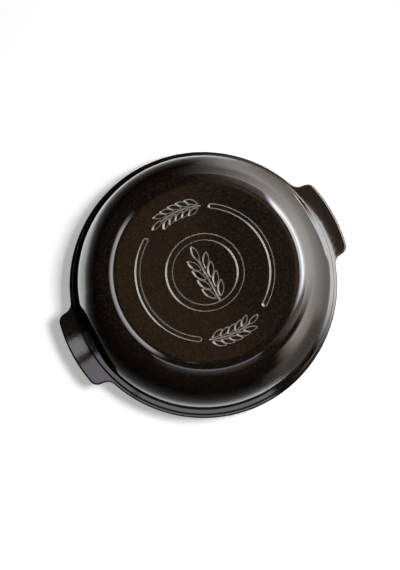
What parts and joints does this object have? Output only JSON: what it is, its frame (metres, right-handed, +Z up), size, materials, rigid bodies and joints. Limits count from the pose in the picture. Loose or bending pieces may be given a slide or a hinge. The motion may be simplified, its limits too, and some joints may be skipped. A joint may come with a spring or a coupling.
{
  "type": "bread cloche",
  "caption": "Round glazed stoneware bread cloche: a domed lid with two finger ears that stands on a shallow eared baking base.",
  "frame": {"origin": "centre of the base's foot ring, on the plane that it stands on", "axes": "+Z up, out of the lid's crown; +X along the two pairs of ears"},
  "size_m": [0.3168, 0.285, 0.165],
  "materials": {
    "lid_glaze": "gloss",
    "base_glaze": "gloss"
  },
  "bodies": {
    "base": {"base": "base_glaze"},
    "lid": {"lid": "lid_glaze"}
  },
  "joints": [
    {"name": "lid_lift", "type": "slide", "parent": "base", "child": "lid", "axis": [0, 0, 1], "range_m": [0, 0.15]}
  ]
}
